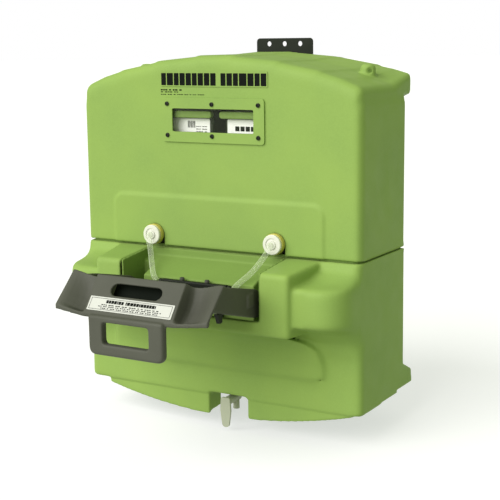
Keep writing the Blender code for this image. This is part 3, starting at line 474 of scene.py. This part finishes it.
def flowing(route, steps=4):
    """Points along a smooth curve through the route's points."""
    points = [Vector(place) for place in route]
    points = [2 * points[0] - points[1], *points, 2 * points[-1] - points[-2]]
    line = []
    for before, start, end, after in zip(points, points[1:], points[2:], points[3:]):
        for step in range(steps):
            t = step / steps
            line.append(0.5 * (2 * start + (end - before) * t
                               + (2 * before - 5 * start + 4 * end - after) * t ** 2
                               + (3 * start - before - 3 * end + after) * t ** 3))
    return [*line, points[-2]]


def make_tube(suffix, sign, finish):
    """A clear tube from a spout's cap down to its elbow, in place of the CAD rod."""
    line = [SHELL + Vector((sign * p.x, p.y, p.z)) for p in flowing(TUBE_ROUTE)]
    for _ in range(TUBE_SMOOTHING):
        line[1:-1] = [(a + b + 2 * c) / 4 for a, b, c in zip(line, line[2:], line[1:-1])]
    curve = bpy.data.curves.new(f"clear_tube_{suffix}", "CURVE")
    curve.dimensions = "3D"
    curve.bevel_depth = TUBE_DIAMETER / 2
    curve.bevel_resolution = 6
    curve.use_fill_caps = True
    spline = curve.splines.new("POLY")
    spline.points.add(len(line) - 1)
    for point, place in zip(spline.points, line):
        point.co = (*place, 1.0)
    curve.materials.append(finish)
    tube = link(bpy.data.objects.new(f"clear_tube_{suffix}", curve))
    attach(tube, "base")
    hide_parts(f"supply_tube_{suffix}")


def face_frame(node):
    """The centre of the node's largest face that looks forward, and its rightward and upward directions."""
    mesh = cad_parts[node].data
    corners = np.array([v.co for v in mesh.vertices])
    face = max((p for p in mesh.polygons if p.normal.y < -0.3), key=lambda p: p.area)
    out = face.normal.copy()
    across = Vector((1.0, 0.0, 0.0))
    up = out.cross(across).normalized()
    spread = [corners @ np.array(way) for way in (across, up, out)]
    middle = [(float(s.min()) + float(s.max())) / 2 for s in spread[:2]]
    centre = across * middle[0] + up * middle[1] + out * float(spread[2].max())
    return centre, across, up


def rounded(x0, x1, z0, z1, radius):
    """The corners of a bar with round ends, anticlockwise."""
    r = min(radius, 0.45 * (x1 - x0), 0.45 * (z1 - z0))
    centres = ((x1 - r, z1 - r, 0), (x0 + r, z1 - r, 90), (x0 + r, z0 + r, 180), (x1 - r, z0 + r, 270))
    corners = []
    for cx, cz, start in centres:
        for turn in (0, 30, 60, 90):
            angle = math.radians(start + turn)
            corners.append((cx + r * math.cos(angle), cz + r * math.sin(angle)))
    return corners


def make_marks(name, node, bars, body, finish, radius, lift=0.00025, sunk=0.0):
    """Flat printed bars (x low, x high, z low, z high) with round corners, on the front of a label's node."""
    origin, across, up = face_frame(node)
    out = across.cross(up)
    origin = origin - out * sunk
    bm = bmesh.new()
    for bar in bars:
        corners = rounded(*bar, radius)
        rings = [[bm.verts.new(origin + across * a + up * b + out * height) for a, b in corners]
                 for height in (0.0, lift)]
        bm.faces.new(rings[1])
        bm.faces.new(rings[0][::-1])
        for i in range(len(corners)):
            j = (i + 1) % len(corners)
            bm.faces.new((rings[0][i], rings[0][j], rings[1][j], rings[1][i]))
    mesh = bpy.data.meshes.new(name)
    bm.to_mesh(mesh)
    bm.free()
    mesh.materials.append(finish)
    obj = link(bpy.data.objects.new(name, mesh))
    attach(obj, body)


def bar_row(left, right, low, high, widths, gap):
    """A row of upright bars with these relative widths; a negative one is a space."""
    scale = (right - left - gap * (len(widths) - 1)) / sum(abs(w) for w in widths)
    bars, x = [], left
    for width in widths:
        if width > 0:
            bars.append((x, x + width * scale, low, high))
        x += abs(width) * scale + gap
    return bars


def text_line(left, right, low, high, seed):
    """A line of small print as short bars of uneven width."""
    draw = np.random.default_rng(seed)
    widths = []
    for _ in range(int((right - left) / WORD_LENGTH)):
        widths += [float(w) for w in draw.uniform(0.8, 1.5, draw.integers(1, 4))] + [-0.45]
    return bar_row(left, right, low, high, widths[:-1], PRINT_GAP)


def text_block(left, right, top, pitch, lines):
    """Lines of small print under each other."""
    bars = []
    for line in range(lines):
        low = top - pitch * line
        bars += text_line(left, right, low, low + CODE_HEIGHT, line)
    return bars


def border(half_x, half_z, width=0.0006):
    return [(-half_x, half_x, half_z - width, half_z), (-half_x, half_x, -half_z, -half_z + width),
            (-half_x, -half_x + width, -half_z, half_z), (half_x - width, half_x, -half_z, half_z)]


def print_labels(finish):
    """Plain bars where the signs carry words."""
    heading = bar_row(-0.115, 0.115, -0.0120, 0.0110, HEADING, 0.0022)
    make_marks("heading_bars", "header_sign", heading, "cover", finish, 0.0010)
    small = text_line(-0.1175, -0.070, -0.0220, -0.0195, 20) + text_line(-0.1175, -0.078, -0.0255, -0.0238, 21)
    small += text_line(-0.1175, -0.020, -0.0300, -0.0286, 22)
    make_marks("heading_small_bars", "header_sign", small, "cover", finish, 0.0003, 0.0004, 0.0014)
    notice = border(*NOTICE_BORDER) + bar_row(-0.052, 0.052, 0.0022, 0.0080, NOTICE, 0.0009)
    for seed, (half, low) in enumerate(NOTICE_LINES):
        notice += text_line(-half, half, low, low + 0.0016, seed)
    make_marks("notice_bars", "arm_label", notice, "arm", finish, 0.0004)
    code = text_block(0.045, 0.062, 0.0425, 0.0022, 6) + text_block(0.064, 0.088, 0.0330, 0.005, 3)
    make_marks("cartridge_bars_left", "cartridge_label_left", code, "base", finish, 0.0003)
    row = bar_row(-0.078, 0.010, 0.0270, 0.0360, CARTON_ROW, 0.0022)
    make_marks("cartridge_bars_right", "cartridge_label_right", row, "base", finish, 0.0003)


def finish_nodes(finishes):
    for node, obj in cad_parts.items():
        slot = obj.data.materials[0].name.split(".")[0]
        obj.data.materials.clear()
        obj.data.materials.append(finishes[SPECIAL_FINISHES.get(node, slot)])


def make_skins(finishes):
    green, liner_green, grey = (finishes[s] for s in ("green_shell", "green_liner", "grey_plastic"))
    housing = soft_skin("lower_housing", "housing_skin", "base", green, 0.0024, 7, housing_weights, housing_shape)
    liner = soft_skin("basin_liner", "liner_skin", "base", liner_green, 0.0015, 5, shape=liner_shape)
    cover = soft_skin("top_cover", "cover_skin", "cover", green, 0.0026, 6, shape=cover_shape)
    arm = soft_skin("activation_arm", "arm_skin", "arm", grey, 0.0017, 3, arm_weights)
    # Painted shade: the slot's web takes the near-black ink finish.
    paint_slot_shade(arm, finishes["ink"])


make_camera()
make_studio()
make_floor()
finishes = make_materials()
finish_nodes(finishes)
for side, sign in (("left", -1), ("right", 1)):
    make_tube(side, sign, finishes["clear_plastic"])
make_skins(finishes)
print_labels(finishes["ink"])
